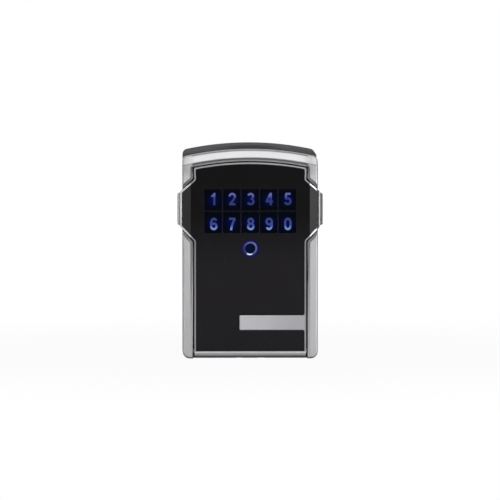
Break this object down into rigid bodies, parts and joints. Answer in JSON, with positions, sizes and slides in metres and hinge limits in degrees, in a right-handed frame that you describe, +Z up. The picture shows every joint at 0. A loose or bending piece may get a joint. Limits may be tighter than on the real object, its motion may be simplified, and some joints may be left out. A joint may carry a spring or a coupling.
{
  "type": "electronic key box",
  "caption": "Wall-mounted key box with a back-lit keypad on a door that drops open on a bottom hinge, a motor-driven bolt and a battery bay.",
  "frame": {"origin": "middle of the base, below the centre of the overall box", "axes": "+Z up, the keypad door faces -Y, the wall face is at +Y, +X to the right when facing the keypad"},
  "size_m": [0.083, 0.058, 0.1218],
  "materials": {
    "charcoal_casting": "satin dark grey powder coat on a zinc casting",
    "silver_casting": "satin silver coat on a zinc casting",
    "gloss_black": "gloss black moulding",
    "key_black": "smooth black keys",
    "key_light": "back-lit blue-violet windows",
    "light_guide": "lit translucent ring",
    "mat_rubber": "matte silicone",
    "seal_rubber": "matte black rubber",
    "dark_plastic": "fine-textured black moulding",
    "board_laminate": "green solder mask",
    "cell_sleeve": "plain shrink sleeve",
    "motor_steel": "drawn can",
    "steel": "zinc-plated",
    "brass": "turned"
  },
  "bodies": {
    "case": {"rear_housing": "charcoal_casting", "front_bezel": "silver_casting", "assembly_screw_1": "steel", "assembly_screw_2": "steel", "assembly_screw_3": "steel", "assembly_screw_4": "steel", "strike_plate": "steel", "strike_screw_1": "steel", "strike_screw_2": "steel", "hinge_pin": "steel", "door_gasket": "seal_rubber"},
    "door": {"door_frame": "silver_casting", "fascia_panel": "gloss_black", "keypad_mat": "mat_rubber", "light_ring": "light_guide", "wake_switch": "dark_plastic", "circuit_board": "board_laminate", "board_screw_1": "steel", "board_screw_2": "steel", "latch_guide": "dark_plastic", "lock_motor": "motor_steel", "motor_saddle": "dark_plastic", "battery_holder": "dark_plastic", "battery": "cell_sleeve", "battery_contact": "brass", "battery_spring": "steel", "inner_cover": "dark_plastic", "inner_cover_screw_1": "steel", "inner_cover_screw_2": "steel", "inner_cover_screw_3": "steel", "inner_cover_screw_4": "steel", "jump_contact_1": "brass", "jump_contact_2": "brass"},
    "key_1_cap": {"key_1": "key_black"},
    "key_2_cap": {"key_2": "key_black"},
    "key_3_cap": {"key_3": "key_black"},
    "key_4_cap": {"key_4": "key_black"},
    "key_5_cap": {"key_5": "key_black"},
    "key_6_cap": {"key_6": "key_black"},
    "key_7_cap": {"key_7": "key_black"},
    "key_8_cap": {"key_8": "key_black"},
    "key_9_cap": {"key_9": "key_black"},
    "key_0_cap": {"key_0": "key_black"},
    "button": {"wake_button": "key_black"},
    "bolt": {"latch_bolt": "steel"},
    "drive": {"drive_pinion": "brass"},
    "battery_lid": {"battery_cover": "dark_plastic", "battery_cover_screw": "steel"}
  },
  "joints": [
    {"name": "door_hinge", "type": "hinge", "parent": "case", "child": "door", "pos_m": [0, -0.025, 0.0041], "axis": [1, 0, 0], "range_deg": [0, 90]},
    {"name": "bolt_throw", "type": "slide", "parent": "door", "child": "bolt", "axis": [0, 0, 1], "range_m": [0, 0.0065]},
    {"name": "drive_turn", "type": "hinge", "parent": "door", "child": "drive", "pos_m": [0, -0.01535, 0.0839], "axis": [-1, 0, 0], "range_deg": [0, 116.4]},
    {"name": "battery_lid_pull", "type": "slide", "parent": "door", "child": "battery_lid", "axis": [0, 1, 0], "range_m": [0, 0.012]},
    {"name": "key_1_press", "type": "slide", "parent": "door", "child": "key_1_cap", "axis": [0, 1, 0], "range_m": [0, 0.0006], "stiffness_N_per_m": 800},
    {"name": "key_2_press", "type": "slide", "parent": "door", "child": "key_2_cap", "axis": [0, 1, 0], "range_m": [0, 0.0006], "stiffness_N_per_m": 800},
    {"name": "key_3_press", "type": "slide", "parent": "door", "child": "key_3_cap", "axis": [0, 1, 0], "range_m": [0, 0.0006], "stiffness_N_per_m": 800},
    {"name": "key_4_press", "type": "slide", "parent": "door", "child": "key_4_cap", "axis": [0, 1, 0], "range_m": [0, 0.0006], "stiffness_N_per_m": 800},
    {"name": "key_5_press", "type": "slide", "parent": "door", "child": "key_5_cap", "axis": [0, 1, 0], "range_m": [0, 0.0006], "stiffness_N_per_m": 800},
    {"name": "key_6_press", "type": "slide", "parent": "door", "child": "key_6_cap", "axis": [0, 1, 0], "range_m": [0, 0.0006], "stiffness_N_per_m": 800},
    {"name": "key_7_press", "type": "slide", "parent": "door", "child": "key_7_cap", "axis": [0, 1, 0], "range_m": [0, 0.0006], "stiffness_N_per_m": 800},
    {"name": "key_8_press", "type": "slide", "parent": "door", "child": "key_8_cap", "axis": [0, 1, 0], "range_m": [0, 0.0006], "stiffness_N_per_m": 800},
    {"name": "key_9_press", "type": "slide", "parent": "door", "child": "key_9_cap", "axis": [0, 1, 0], "range_m": [0, 0.0006], "stiffness_N_per_m": 800},
    {"name": "key_0_press", "type": "slide", "parent": "door", "child": "key_0_cap", "axis": [0, 1, 0], "range_m": [0, 0.0006], "stiffness_N_per_m": 800},
    {"name": "button_press", "type": "slide", "parent": "door", "child": "button", "axis": [0, 1, 0], "range_m": [0, 0.0005], "stiffness_N_per_m": 800}
  ],
  "couplings": [
    {"joint": "drive_turn", "follows": "bolt_throw", "rad_per_m": 312.5}
  ]
}
